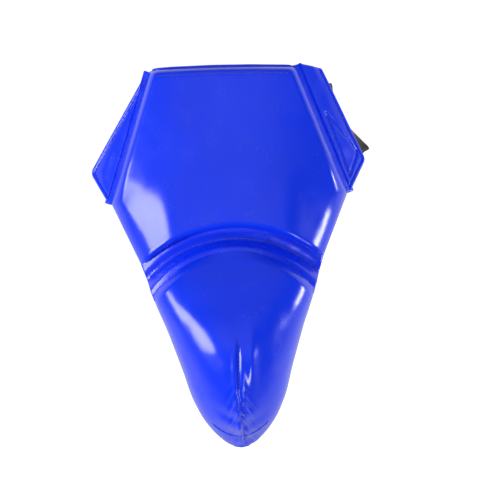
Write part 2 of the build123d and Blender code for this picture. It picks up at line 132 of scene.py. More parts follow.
# middle line of the belt behind the wearer, and its outward lean in degrees
belt_route = [
    (-103.0, -24.0, -4.0, 33.0),
    (-102.5, 4.0, -2.0, 34.0),
    (-97.0, 36.0, 3.0, 24.0),
    (-71.0, 64.0, 9.0, 15.0),
    (-37.0, 82.0, 13.0, 9.0),
    (0.0, 88.0, 14.0, 8.0),
    (38.0, 83.0, 13.0, 9.0),
    (74.0, 66.0, 9.0, 15.0),
    (99.5, 38.0, 3.0, 28.0),
    (112.0, 4.0, -1.0, 39.0),
    (112.0, -13.0, -0.5, 38.0),
]
belt_edge_point = (109.0, -39.5, -4.0)
hook_length = 24.0
hook_half_width = 33.0
belt_end_slant = 15.0  # the elastic follows the wing's slanted edge
strap_width = 20.0
strap_thickness = 2.0
# middle line of a leg strap, and its turn about the upright in degrees
strap_route = [
    (88.5, -57.5, -62.0, 32.0),
    (87.5, -54.0, -80.0, 30.0),
    (80.0, -36.0, -105.0, 24.0),
    (67.0, -17.0, -137.0, 16.0),
    (53.0, -7.0, -175.0, 10.0),
    (40.0, -9.0, -212.0, 6.0),
    (28.0, -24.0, -246.0, 3.0),
    (17.0, -44.0, -270.0, 0.0),
    (11.5, -57.5, -286.0, 0.0),
]
arch_rounds = 12  # rounds in which a grid's edge settles on its arch
stitch_pitch = 2.8
stitch_length = 2.1
thread = 0.8


# ---------------- camera
def make_camera():
    """Camera at the reference view: level, in front, rolled a little."""
    data = bpy.data.cameras.new("camera")
    data.sensor_width = 36.0
    data.lens = 108.3
    data.clip_end = 20.0
    camera = bpy.data.objects.new("camera", data)
    place = Matrix.Translation((0.008, -1.408, -0.1109))
    roll_turn = Matrix.Rotation(radians(-2.9), 4, "Z")
    camera.matrix_world = place @ Matrix.Rotation(pi / 2, 4, "X") @ roll_turn
    bpy.context.scene.collection.objects.link(camera)
    bpy.context.scene.camera = camera


make_camera()


# ---------------- materials
def new_material(name, colour, roughness, **sockets):
    """Principled material, with its node tree and shader."""
    material = bpy.data.materials.new(name)
    material.use_nodes = True
    shader = material.node_tree.nodes["Principled BSDF"]
    shader.inputs["Base Color"].default_value = (*colour, 1.0)
    shader.inputs["Roughness"].default_value = roughness
    for socket, value in sockets.items():
        shader.inputs[socket.replace("_", " ")].default_value = value
    return material, material.node_tree, shader


def add_node(tree, kind, **values):
    """Node with socket values set by name."""
    node = tree.nodes.new(kind)
    for socket, value in values.items():
        node.inputs[socket].default_value = value
    return node


def maths(tree, operation, first, second=None):
    """Math node on two sockets or numbers; returns its output."""
    node = tree.nodes.new("ShaderNodeMath")
    node.operation = operation
    for socket, value in zip(node.inputs, (first, second)):
        if value is None:
            continue
        if isinstance(value, (int, float)):
            socket.default_value = value
        else:
            tree.links.new(value, socket)
    return node.outputs[0]


def noise_value(tree, scale, detail=2.0, distortion=0.0):
    """Noise texture's value in object coordinates."""
    place = tree.nodes.new("ShaderNodeTexCoord")
    node = add_node(tree, "ShaderNodeTexNoise", Scale=scale, Detail=detail, Distortion=distortion)
    tree.links.new(place.outputs["Object"], node.inputs["Vector"])
    return node.outputs["Fac"]


def shade(colour, factor, lift=0.0):
    """Darker or lighter colour."""
    return tuple(min(1.0, factor * c + lift) for c in colour)


def ramp(tree, value, stops):
    """Colour ramp of a value; stops are (place, colour)."""
    node = tree.nodes.new("ShaderNodeValToRGB")
    while len(node.color_ramp.elements) < len(stops):
        node.color_ramp.elements.new(0.5)
    for element, (place, colour) in zip(node.color_ramp.elements, stops):
        element.position = place
        element.color = (*colour, 1.0)
    tree.links.new(value, node.inputs["Fac"])
    return node.outputs["Color"]


def tint(tree, shader, value, stops):
    """Base colour from a ramp of a value."""
    tree.links.new(ramp(tree, value, stops), shader.inputs["Base Color"])


def bump(tree, shader, heights):
    """Chain of bumps on the shader; heights are (value, depth in metres, strength)."""
    normal = None
    for value, depth, strength in heights:
        node = tree.nodes.new("ShaderNodeBump")
        node.inputs["Distance"].default_value = depth
        node.inputs["Strength"].default_value = strength
        tree.links.new(value, node.inputs["Height"])
        if normal:
            tree.links.new(normal, node.inputs["Normal"])
        normal = node.outputs["Normal"]
    tree.links.new(normal, shader.inputs["Normal"])


def vinyl_material(name, colour, roughness):
    """Glossy coated vinyl: fine grain, soft waves, slight change of tone."""
    material, tree, shader = new_material(
        name, colour, roughness, Coat_Weight=0.15, Coat_Roughness=0.16, Specular_IOR_Level=0.5
    )
    tones = [(0.3, shade(colour, 0.9)), (0.5, colour), (0.75, shade(colour, 1.04, 0.001))]
    tint(tree, shader, noise_value(tree, 9.0, 3.0), tones)
    worn = noise_value(tree, 60.0, 4.0)
    rough = ramp(tree, worn, [(0.35, (roughness * 0.92,) * 3), (0.7, (roughness * 1.12,) * 3)])
    tree.links.new(rough, shader.inputs["Roughness"])
    bump(tree, shader, [
        (noise_value(tree, 1400.0, 2.0), 0.00005, 0.35),
        (noise_value(tree, 38.0, 2.0, 0.4), 0.0010, 0.25),
    ])
    return material


def weave_material(name, colour, across, along, depth, stripes=(), roughness=0.75):
    """Woven cloth in UV metres; stripes are (low, high, colour) across the cloth."""
    material, tree, shader = new_material(name, colour, roughness, Sheen_Weight=0.25, Sheen_Roughness=0.5)
    uv = tree.nodes.new("ShaderNodeTexCoord")
    parts = tree.nodes.new("ShaderNodeSeparateXYZ")
    tree.links.new(uv.outputs["UV"], parts.inputs[0])
    u, v = parts.outputs[0], parts.outputs[1]
    warp = maths(tree, "SINE", maths(tree, "MULTIPLY", v, 2 * pi * across))
    weft = maths(tree, "SINE", maths(tree, "MULTIPLY", u, 2 * pi * along))
    cloth = maths(tree, "MULTIPLY", warp, weft)
    height = maths(tree, "ADD", maths(tree, "MULTIPLY", warp, 0.6), maths(tree, "MULTIPLY", cloth, 0.4))
    fuzz = noise_value(tree, 900.0, 3.0)
    relief = maths(tree, "ADD", maths(tree, "MULTIPLY", height, 0.3), fuzz)
    # colour follows the weave's height: painted shade in the hollows between threads and a painted
    # highlight on raised threads; the fibre noise adds random tone
    tones = [(0.2, shade(colour, 0.55)), (0.5, colour), (0.85, shade(colour, 1.5, 0.01))]
    painted_shade_and_dye = ramp(tree, relief, tones)
    for low, high, stripe in stripes:
        above = maths(tree, "GREATER_THAN", v, low)
        inside = maths(tree, "MULTIPLY", above, maths(tree, "LESS_THAN", v, high))
        mix = tree.nodes.new("ShaderNodeMix")
        mix.data_type = "RGBA"
        tree.links.new(inside, mix.inputs["Factor"])
        tree.links.new(painted_shade_and_dye, mix.inputs["A"])
        # the dyed stripes carry the same painted shade in the weave's hollows and painted highlight on
        # raised threads
        stripe_tones = [(0.2, shade(stripe, 0.6)), (0.7, stripe)]
        tree.links.new(ramp(tree, relief, stripe_tones), mix.inputs["B"])
        painted_shade_and_dye = mix.outputs["Result"]
    tree.links.new(painted_shade_and_dye, shader.inputs["Base Color"])
    bump(tree, shader, [(height, depth, 0.8), (fuzz, depth * 0.5, 0.4)])
    return material


def fuzz_material(name, colour, scale, depth):
    """Looped, hooked or foamed surface: cells of a size, rough."""
    material, tree, shader = new_material(name, colour, 0.95, Sheen_Weight=0.3, Sheen_Roughness=0.6)
    place = tree.nodes.new("ShaderNodeTexCoord")
    cells = add_node(tree, "ShaderNodeTexVoronoi", Scale=scale)
    tree.links.new(place.outputs["Object"], cells.inputs["Vector"])
    distance = cells.outputs["Distance"]
    tint(tree, shader, distance, [(0.1, shade(colour, 1.4, 0.01)), (0.7, shade(colour, 0.5))])
    bump(tree, shader, [(distance, depth, 0.8), (noise_value(tree, scale * 0.3), depth, 0.5)])
    return material


def plastic_material(name, colour, roughness):
    """Moulded plastic or rubber: faint grain and flow marks."""
    material, tree, shader = new_material(name, colour, roughness)
    tint(tree, shader, noise_value(tree, 30.0, 4.0), [(0.3, shade(colour, 0.85)), (0.7, colour)])
    bump(tree, shader, [(noise_value(tree, 2500.0), 0.00004, 0.5)])
    return material


BLUE = (0.001, 0.033, 0.84)
RED = (0.55, 0.01, 0.012)
BLACK = (0.014, 0.014, 0.016)
stripes = [(0.0195, 0.0265, RED), (0.0485, 0.0555, RED)]
materials = {}
for maker, name, *looks in (
    (vinyl_material, "vinyl_blue", BLUE, 0.25),
    (vinyl_material, "vinyl_blue_channel", (0.001, 0.027, 0.82), 0.27),
    (weave_material, "thread_blue", (0.004, 0.035, 0.55), 3000.0, 1800.0, 0.0001, (), 0.55),
    (weave_material, "thread_black", BLACK, 3000.0, 1800.0, 0.0001, (), 0.6),
    (fuzz_material, "foam_soft", (0.16, 0.16, 0.17), 900.0, 0.0003),
    (fuzz_material, "foam_dense", (0.08, 0.08, 0.09), 1300.0, 0.0002),
    (plastic_material, "board", (0.75, 0.75, 0.72), 0.5),
    (plastic_material, "shell", (0.86, 0.86, 0.84), 0.35),
    (weave_material, "lining_black", (0.022, 0.022, 0.025), 900.0, 900.0, 0.0002),
    (plastic_material, "rim_black", (0.02, 0.02, 0.02), 0.55),
    (weave_material, "elastic_black", BLACK, 420.0, 700.0, 0.0004, stripes),
    (weave_material, "strap_black", BLACK, 420.0, 700.0, 0.0004),
    (weave_material, "webbing_black", (0.018, 0.018, 0.02), 350.0, 500.0, 0.0005),
    (fuzz_material, "hook_black", (0.02, 0.02, 0.022), 700.0, 0.0006),
    (fuzz_material, "loop_black", (0.03, 0.03, 0.032), 1500.0, 0.0004),
):
    materials[name] = maker(name, *looks)


# ---------------- mesh helpers
def grid_faces(rows, columns, loop=False, start=0):
    """Quads of a grid of points; loop joins the last column to the first."""
    faces = []
    for i in range(rows - 1):
        for j in range(columns if loop else columns - 1):
            k = (j + 1) % columns
            base = start + i * columns
            faces.append((base + j, base + k, base + columns + k, base + columns + j))
    return faces


def rod_faces(rings, sides, start=0):
    """Faces of a closed rod made of rings of points, with its two ends."""
    last = start + (rings - 1) * sides
    ends = [tuple(range(start, start + sides))[::-1], tuple(range(last, last + sides))]
    return grid_faces(rings, sides, loop=True, start=start) + ends


def xyz(x, y, z):
    """Points from their coordinates."""
    return np.stack(np.broadcast_arrays(x, y, z), axis=-1)


def make_piece(name, points, faces, uvs, slot):
    """Smooth mesh object from points in millimetres, with its material slot."""
    mesh = bpy.data.meshes.new(name)
    mesh.from_pydata([tuple(p * MM) for p in np.asarray(points, float)], [], faces)
    layer = mesh.uv_layers.new(name="UVMap")
    uvs = np.asarray(uvs, float) * MM
    loops = np.zeros(len(mesh.loops), int)
    mesh.loops.foreach_get("vertex_index", loops)
    layer.data.foreach_set("uv", uvs[loops].ravel())
    work = bmesh.new()
    work.from_mesh(mesh)
    bmesh.ops.recalc_face_normals(work, faces=work.faces)
    work.to_mesh(mesh)
    work.free()
    mesh.shade_smooth()
    mesh.materials.append(materials[slot])
    piece = bpy.data.objects.new(name, mesh)
    bpy.context.scene.collection.objects.link(piece)
    return piece


def grid_solid(name, front, back, slot, uvs=None, loop=False):
    """Closed piece between two grids; loop joins their last columns to the first."""
    rows, columns = front.shape[:2]
    count = rows * columns
    if uvs is None:
        uvs = front[..., [0, 2]]
    faces = grid_faces(rows, columns, loop)
    faces += [tuple(i + count for i in reversed(face)) for face in faces]
    last = count - columns
    if loop:
        ring = [((j + 1) % columns, j) for j in range(columns)]
        edges = ring + [(a + last, b + last) for a, b in ring]
    else:
        rim = list(range(columns))
        rim += [i * columns + columns - 1 for i in range(1, rows)]
        rim += [last + j for j in range(columns - 2, -1, -1)]
        rim += [i * columns for i in range(rows - 2, 0, -1)]
        edges = zip(rim, rim[1:] + rim[:1])
    for a, b in edges:
        faces.append((b, a, a + count, b + count))
    points = np.concatenate([front.reshape(-1, 3), back.reshape(-1, 3)])
    flat = np.asarray(uvs, float).reshape(-1, 2)
    return make_piece(name, points, faces, np.concatenate([flat, flat]), slot)


def roll(distance, width, power=2.0):
    """Share of the full height, 0 to 1, at a distance inside a rounded edge."""
    inside = np.clip(np.asarray(distance) / width, 0, 1)
    return (1 - (1 - inside) ** power) ** (1 / power)


def nearest(*distances):
    """Smallest of several distances at each point."""
    return np.minimum.reduce(distances)


def bell(value, width):
    """1 at zero, falling smoothly over a width."""
    return np.exp(-(value / width) ** 2)


def smooth_step(value, low, high):
    """0 below low, 1 above high, smooth between."""
    t = np.clip((np.asarray(value, float) - low) / (high - low), 0, 1)
    return t * t * (3 - 2 * t)


def ease(count, share=0.75):
    """Values from 0 to 1, closer together near both ends."""
    even = np.linspace(0, 1, count)
    return (1 - share) * even + share * (0.5 - 0.5 * np.cos(pi * even))


def arc_y(curve, x):
    """Depth of an upright curved layer at a distance x from the middle."""
    front, radius = curve
    return front + radius - np.sqrt(radius**2 - np.asarray(x, float) ** 2)


def wobble(points, size, height, shift=0.0):
    """Soft uneven offsets for an array of points: a hand-made surface isn't exact."""
    flat = np.asarray(points, float).reshape(-1, 3)
    values = [noise.noise(Vector(p) / size + Vector((shift, 0, 0))) for p in flat]
    return height * np.array(values).reshape(np.asarray(points).shape[:-1])


def near_line(x, z, start, end):
    """Distance of points from a line between two points."""
    start, end = np.array(start, float), np.array(end, float)
    way = end - start
    t = np.clip(((x - start[0]) * way[0] + (z - start[1]) * way[1]) / (way @ way), 0, 1)
    return np.hypot(x - start[0] - t * way[0], z - start[1] - t * way[1])


def circle_through(half, rise):
    """Radius of the arc over a chord of a half length, with a rise."""
    return (half**2 + rise**2) / (2 * rise)


def lengths(path):
    """Length along a path at each of its points."""
    steps = np.linalg.norm(np.diff(np.asarray(path)[:, :3], axis=0), axis=1)
    return np.concatenate([[0], np.cumsum(steps)])


def at_length(path, along, place):
    """Point of a path, or points, at a length along it."""
    return np.stack([np.interp(place, along, column) for column in np.transpose(path)], axis=-1)


def spline(stations, count):
    """Evenly spaced points on a smooth curve through stations of any dimension."""
    stations = np.array(stations, float)
    before = 2 * stations[0] - stations[1]
    after = 2 * stations[-1] - stations[-2]
    knots = np.vstack([before, stations, after])
    fine = []
    for i in range(1, len(knots) - 2):
        a, b, c, d = knots[i - 1:i + 3]
        square, cube = 2 * a - 5 * b + 4 * c - d, 3 * b - a - 3 * c + d
        for t in np.linspace(0, 1, 24, endpoint=False):
            fine.append(0.5 * (2 * b + (c - a) * t + square * t**2 + cube * t**3))
    fine = np.array(fine + [stations[-1]])
    along = lengths(fine)
    return at_length(fine, along, np.linspace(0, along[-1], count))


def unit(vector):
    """Vector or rows of vectors at length 1."""
    vector = np.asarray(vector, float)
    return vector / np.linalg.norm(vector, axis=-1, keepdims=True)


def stitches(name, path, outwards, slot="thread_blue", pitch=stitch_pitch, lift=0.15):
    """Row of thread stitches along a path that lies on a surface."""
    path = np.array(path, float)
    along = lengths(path)
    count = max(1, int(along[-1] / pitch))
    outwards = np.broadcast_to(np.asarray(outwards, float), path.shape)
    sides, rings = 8, 7
    points, faces = [], []
    for i in range(count):
        middle = (i + 0.5) / count * along[-1]
        ends = [at_length(path, along, middle + s * stitch_length / 2) for s in (-1, 1)]
        out = unit(at_length(outwards, along, middle))
        way = unit(ends[1] - ends[0])
        across = unit(np.cross(way, out))
        out = np.cross(across, way)
        base = len(points)
        for r in range(rings):
            t = r / (rings - 1)
            girth = thread / 2 * sin(pi * (0.08 + 0.84 * t)) ** 0.5
            sink = -0.45 * thread * (2 * t - 1) ** 2 + lift
            centre = ends[0] + (ends[1] - ends[0]) * (t * 1.1 - 0.05) + out * sink
            for s in range(sides):
                turn = 2 * pi * s / sides
                points.append(centre + girth * (across * cos(turn) + out * sin(turn)))
        faces += rod_faces(rings, sides, base)
    points = np.array(points)
    return make_piece(name, points, faces, points[:, [0, 2]], slot)


# ---------------- belly pad
pad_arch_radius = circle_through(arch_end_half, arch_top_z - arch_end_z)
pad_arch_centre = arch_top_z - pad_arch_radius
pad_side_z = [arch_end_z, pad_wide_z, pad_top]
pad_side_half = [arch_end_half, pad_wide_half, pad_top_half]


def pad_half(z):
    """Half width of the belly pad at a height."""
    return np.interp(z, pad_side_z, pad_side_half)


def pad_place(s, t, inset=0.0):
    """x and z on the pad's front view; s runs across from -1 to 1, t up from 0 to 1."""
    s, t = np.meshgrid(s, t)
    low = np.full_like(s, arch_top_z)
    for _ in range(arch_rounds):
        x = s * (pad_half(low) - inset)
        low = pad_arch_centre + np.sqrt((pad_arch_radius + inset) ** 2 - x**2)
    z = low + t * (pad_top - inset - low)
    x = s * (pad_half(z) - inset)
    return x, z - top_lean * x * t


def pad_edge_distances(x, z):
    """Distances inside the pad's sides, top and arch."""
    upper = atan2(pad_wide_half - pad_top_half, pad_top - pad_wide_z)
    side = (pad_half(z) - np.abs(x)) * cos(upper)
    arch = np.hypot(x, z - pad_arch_centre) - pad_arch_radius
    return side, pad_top - top_lean * x - z, arch


def pad_full(x, z):
    """Depth of the full padding: gently curved above, with flat slopes to the hips below."""
    half = np.linspace(0, 130, 300)
    turn = smooth_step(half, *pad_turn)
    slope = (1 - turn) * half / 330.0 + turn * pad_hip_slope
    lower = pad_flat[0] + np.interp(np.abs(x), half, np.cumsum(slope) * (half[1] - half[0]))
    share = smooth_step(-z, 46, 92)
    return arc_y(pad_flat, x) * (1 - share) + lower * share


def pad_surface(x, z, inset=0.0):
    """Depth of the padded front: full in the middle, rolled to the seam at its edges."""
    side, top, arch = pad_edge_distances(x, z)
    low_corner = smooth_step(-z, 30, 110)
    crease_roll = 9 + 9 * low_corner
    share = roll(side - inset, crease_roll, 1.9 + 0.2 * low_corner)
    share = share * roll(top - inset, 7.0) * roll(arch - inset, 8.0, 2.0)
    seam = arc_y(pad_seam, x)
    full = pad_full(x, z) + inset
    # the padding thins towards the lower corners
    slump = 3.5 * smooth_step(np.hypot(x / 95, (z + 128) / 60), 0.2, 1.15) * smooth_step(-z, 20, 120)
    seam_dip = 0.5 * bell(top - top_seam_drop, 1.6)
    return seam + (full - seam) * share + slump * share * 0.6 + seam_dip * share


def make_belly():
    """Belly pad: vinyl skin with two layers of foam inside it."""
    s, t = 2 * ease(110) - 1, ease(96, 0.8)
    x, z = pad_place(s, t)
    front = xyz(x, pad_surface(x, z), z)
    soft = smooth_step(nearest(*pad_edge_distances(x, z)), 1, 14)
    front[..., 1] += wobble(front, 42, 0.9) * soft + wobble(front, 16, 0.25, 7.0) * soft
    tucked_x, tucked_z = pad_place(s, t, 0.8)
    back = xyz(tucked_x, arc_y(pad_rear, tucked_x), tucked_z)
    skin = grid_solid("belly_skin", front, back, "vinyl_blue")
    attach(skin, "pad")
    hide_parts("belly_cover")

    layers = [("belly_foam_front", 2.0, 10.0, "foam_soft", "belly_foam_outer"),
              ("belly_foam_rear", 10.4, 17.0, "foam_dense", "belly_foam_inner")]
    for name, start, end, slot, node in layers:
        s, t = 2 * ease(50) - 1, ease(40)
        x, z = pad_place(s, t, pad_layers_inset)
        near = pad_surface(x, z)
        depth = arc_y(pad_rear, x) - near
        front, back = [xyz(x, near + depth * share / pad_depth, z) for share in (start, end)]
        piece = grid_solid(name, front, back, slot)
        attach(piece, "pad")
        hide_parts(node)


def make_belly_lining():
    """Cloth on the wearer's side: its edge is turned under and sewn all round."""
    seam_inset = 4.0
    s, t = 2 * ease(90) - 1, ease(80)
    x, z = pad_place(s, t, pad_layers_inset)
    edge = nearest(*pad_edge_distances(x, z)) - pad_layers_inset
    puff = 0.9 * roll(edge, 5.0) - 0.7 * bell(edge - seam_inset, 1.2)
    rear = arc_y(pad_rear, x) + 0.05
    outer = xyz(x, rear + np.maximum(puff, 0.05), z)
    outer[..., 1] += np.abs(wobble(outer, 30, 0.35)) * roll(edge, 8.0)
    inner = xyz(x, rear - 0.3, z)
    along = pad_front[1] * np.arcsin(x / pad_front[1])
    unrolled = np.stack([along, z], axis=-1)
    lining = grid_solid("belly_lining_cloth", inner, outer, "lining_black", unrolled)
    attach(lining, "pad")
    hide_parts("belly_lining")

    across, up, down = np.linspace(-1, 1, 120), np.linspace(0, 1, 120), np.linspace(1, 0, 120)
    path = []
    for s, t in [(across, [0.0]), ([1.0], up), (-across, [1.0]), ([-1.0], down)]:
        x, z = [grid.ravel() for grid in pad_place(s, t, pad_layers_inset + seam_inset)]
        path.append(xyz(x, arc_y(pad_rear, x) + 0.35, z))
    row = stitches("belly_lining_stitches", np.vstack(path), (0, 1, 0), "thread_black")
    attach(row, "pad")


def make_top_edge():
    """Folded binding along the top edge, with the row of stitches under it."""
    half = pad_top_half - 2.0
    x = np.linspace(-half, half, 90)
    end = np.sqrt(np.clip(1 - (np.abs(x) / (half + 0.5)) ** 24, 0.02, 1))
    path = xyz(x, arc_y(pad_seam, x) - 0.5, pad_top + 0.1 - top_lean * x)
    path[:, 2] += wobble(path, 20, 0.3)
    sides = 20
    points = []
    for i in range(len(x)):
        for k in range(sides):
            turn = 2 * pi * k / sides
            y = 4.6 * np.sign(cos(turn)) * abs(cos(turn)) ** 0.8
            z = 2.4 * np.sign(sin(turn)) * abs(sin(turn)) ** 0.8
            points.append(path[i] + np.array([0, y * end[i], z * end[i]]))
    uvs = [(x[i], 1.4 * k) for i in range(len(x)) for k in range(sides)]
    faces = rod_faces(len(x), sides)
    binding = make_piece("top_edge_binding", points, faces, uvs, "vinyl_blue")
    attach(binding, "pad")
    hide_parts("top_binding")

    x = np.linspace(-half + 6, half - 6, 120)
    z = pad_top - top_seam_drop - top_lean * x
    row = stitches("top_edge_stitches", xyz(x, pad_surface(x, z), z), (0, -1, 0.3))
    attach(row, "pad")
    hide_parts("top_stitching")


make_belly()
make_belly_lining()
make_top_edge()


# ---------------- arch channel
cup_arch_rise = cup_top_z - cup_corner_z
cup_arch_radius = circle_through(cup_corner_half, cup_arch_rise)
cup_arch_centre = cup_top_z - cup_arch_radius

# depth across the channel: a lip at the pad, a valley at the seam, then out to the cup
channel_steps = np.linspace(-0.3, 1.3, 200)
channel_depths = -5.5 + 2.4 * smooth_step(channel_steps, 0.0, channel_seam)
channel_depths = channel_depths - 10.7 * smooth_step(channel_steps, 0.42, 0.84)


def channel_place(s, u):
    """x and z on the channel; s runs along the arch, u from the pad (0) to the cup (1)."""
    arcs = []
    for half, radius, centre in (
        (arch_end_half, pad_arch_radius, pad_arch_centre),
        (cup_corner_half, cup_arch_radius, cup_arch_centre),
    ):
        turn = np.arcsin(half / radius) * s
        arcs.append(np.stack([radius * np.sin(turn), centre + radius * np.cos(turn)]))
    return (1 - u) * arcs[0] + u * arcs[1]


def channel_surface(x, u):
    """Depth of the channel's skin; u as in channel_place."""
    return arc_y(channel_face, x) + np.interp(u, channel_steps, channel_depths)


def make_channel():
    """Thin skin of the arch between the pad and the cup, with its seam."""
    s = np.linspace(-1, 1, 120)
    u = np.linspace(-0.22, 1.22, 40)
    grid_s, grid_u = np.meshgrid(s, u)
    x, z = channel_place(grid_s, grid_u)
    pucker = 0.4 * np.sin(2 * pi * grid_s * 34) * bell(grid_u - 0.42, 0.14)
    front = xyz(x, channel_surface(x, grid_u) + pucker, z)
    front[..., 1] += wobble(front, 18, 0.5)
    back = front + np.array([0, channel_thickness, 0])
    skin = grid_solid("arch_skin", front, back, "vinyl_blue_channel")
    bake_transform(skin)
    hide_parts("arch_channel")

    s = np.linspace(-0.96, 0.96, 160)
    x, z = channel_place(s, channel_seam)
    path = xyz(x, channel_surface(x, channel_seam) - 0.5, z)
    row = stitches("arch_stitches", path, (0, -1, 0))
    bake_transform(row)
    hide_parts("arch_stitching")


make_channel()


# ---------------- cup
def cup_back(z):
    """Depth of the cup's sloping back plane at a height."""
    return cup_back_top + (cup_top_z - np.asarray(z)) * cup_back_slope


def rib_value(z, column):
    """Half width, ridge or front of the cup at a height, smooth between its ribs."""
    heights = -cup_ribs[:, 0]
    values = cup_ribs[:, column]
    z = -np.asarray(z, float)
    slopes = np.gradient(values, heights)
    i = np.clip(np.searchsorted(heights, z) - 1, 0, len(heights) - 2)
    width = heights[i + 1] - heights[i]
    t = np.clip((z - heights[i]) / width, 0, 1)
    square, cube = t**2, t**3
    m, n = slopes[i] * width, slopes[i + 1] * width
    start = (2 * cube - 3 * square + 1) * values[i] + (cube - 2 * square + t) * m
    return start + (-2 * cube + 3 * square) * values[i + 1] + (cube - square) * n


def cup_half(z):
    """Half width of the cup at a height."""
    return np.maximum(rib_value(z, 1), 0.5)


def seam_x(z):
    """The dart seam wanders a little from the middle."""
    return 3.0 + 2.2 * np.sin((np.asarray(z) + 190) / 31.0)


def cup_surface(x, z, inset=0.0):
    """Depth of the cup's front: flat shield above, ridges, steep sides, keel below."""
    half = cup_half(z) - inset
    ridge = np.maximum(rib_value(z, 2), 1.0)
    front = rib_value(z, 3) + inset
    back = cup_back(z)
    u = np.clip(np.abs(x) / half, 0, 1)
    f = np.clip(ridge / half, 0.12, 0.85)
    power = np.log(0.30) / np.log(f)
    share = (1 - u**power) ** (1 / 2.3)
    arch = cup_arch_radius - np.hypot(x, z - cup_arch_centre)
    edge = roll(arch - inset, 8.0, 1.7)
    channel = arc_y(channel_face, x) - cup_channel_depth
    full = back - (back - front) * share
    low = np.minimum(channel, back)
    depth = low + (full - low) * edge
    return np.where(full > low, full, depth)


def cup_details(x, z):
    """Offsets of the dart seam's groove, its puckers, the folds at the tip and a swell."""
    off = x - seam_x(z)
    far, side = np.abs(off), np.sign(off)
    reach = smooth_step(-z, 192, 215) * (1 - smooth_step(-z, 292, 300))
    groove = 1.6 * bell(off, 1.5) * reach
    lips = -0.7 * bell(far - 4.0, 2.2) * reach
    puckers = 1.3 * np.sin((z + 1.5 * far) / 1.9 + side * 1.3) * bell(far - 6, 5.0)
    puckers = puckers * smooth_step(-z, 235, 262)
    folds = 1.2 * np.sin((z - 0.55 * far) / 2.8 + 0.8 * side) * bell(off, 16.0)
    folds = folds * smooth_step(-z, 252, 272)
    swell = -3.6 * np.exp(-((off - 11.5) / 5.2) ** 2 - ((z + 219) / 20.0) ** 2)
    return groove + lips + (puckers + folds) * reach + swell


def cup_place(s, t, inset=0.0):
    """x and z on the cup's front view; s runs across, t from the arch to the tip."""
    s, t = np.meshgrid(s, t)
    top = np.full_like(s, cup_top_z)
    for _ in range(arch_rounds):
        x = s * np.minimum(cup_half(top) - inset, cup_arch_radius * 0.95)
        top = cup_arch_centre + np.sqrt(np.maximum((cup_arch_radius - inset) ** 2 - x**2, 1.0))
    z = top + t * (cup_tip_z + inset * 1.2 - top)
    return s * (cup_half(z) - inset), z


def make_cup_skin():
    """Vinyl cover of the cup."""
    s, t = 2 * ease(150, 0.45) - 1, ease(170, 0.6)
    x, z = cup_place(s, t)
    y = cup_surface(x, z)
    away = roll(cup_half(z) - np.abs(x), 8.0)
    front = xyz(x, y, z)
    details = cup_details(x, z) + wobble(front, 34, 0.9, 3.0) + wobble(front, 13, 0.3, 11.0)
    front[..., 1] += details * away
    tucked_x, tucked_z = cup_place(s, t, 1.2)
    inner = np.minimum(front[..., 1] + cup_skin_thickness, cup_back(tucked_z) + 0.3)
    back = xyz(tucked_x, inner, tucked_z)
    skin = grid_solid("cup_skin", front, back, "vinyl_blue")
    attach(skin, "cup")
    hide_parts("cup_cover")

    z = np.linspace(cup_seam_top_z, cup_seam_low_z, 160)
    x = seam_x(z) + 0.1
    path = xyz(x, cup_surface(x, z) + cup_details(x, z), z)
    row = stitches("cup_seam_stitches", path, (0, -1, 0), pitch=3.4)
    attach(row, "cup")
    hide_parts("cup_seam_stitching")


make_cup_skin()


# ---------------- cup from behind
tip_slope = hypot(1, cup_back_slope)
mouth_half = cup_corner_half - cup_mouth_inset
mouth_top_z = cup_top_z - cup_mouth_inset


def mirrored(x, z):
    """Closed outline from its right half, which runs from the top to the bottom."""
    return np.concatenate([x, -x[::-1]]), np.concatenate([z, z[::-1]])


def mouth_outline(grow):
    """x and z round the cup's mouth, from the top clockwise."""
    high = (mouth_half + grow, -22.0)
    low = (0.46 * mouth_half + grow, -125.0)
    bottom = -141.0 - grow
    top_radius = circle_through(high[0], grow - high[1])
    low_radius = circle_through(low[0], low[1] - bottom)
    top_turn = np.linspace(0, atan2(high[0], top_radius - (grow - high[1])), 40)
    low_turn = np.linspace(atan2(low[0], low_radius - (low[1] - bottom)), 0, 40)
    side = np.linspace(0, 1, 40)[1:-1]
    top_z = grow - top_radius * (1 - np.cos(top_turn))
    low_z = bottom + low_radius * (1 - np.cos(low_turn))
    side_x, side_z = [start + (end - start) * side for start, end in zip(high, low)]
    x = np.concatenate([top_radius * np.sin(top_turn), side_x, low_radius * np.sin(low_turn)])
    z = np.concatenate([top_z, side_z, low_z])
    return mirrored(x, mouth_top_z + z / tip_slope)


def cup_outline(inset):
    """x and z round the whole cup, from the top clockwise."""
    s = np.linspace(0, 1, 60)
    x, z = cup_place(s, np.array([0.0]), inset)
    side_x, side_z = cup_place(np.array([1.0]), np.linspace(0, 1, 120), inset)
    x = np.concatenate([x[0], side_x[:, 0], [0.0]])
    z = np.concatenate([z[0], side_z[:, 0], [cup_tip_z + inset]])
    return mirrored(x, z)


ring_centre_z = -195.0
ring_turns = np.linspace(0, 2 * pi, 160, endpoint=False)


def round_ring(outline):
    """Outline's points at even turns about the middle of the mouth."""
    x, z = outline
    turns = np.unwrap(np.arctan2(x, z - ring_centre_z))
    reach = np.hypot(x, z - ring_centre_z)
    order = np.argsort(turns)
    at = np.interp(ring_turns, turns[order], reach[order], period=2 * pi)
    return at * np.sin(ring_turns), ring_centre_z + at * np.cos(ring_turns)


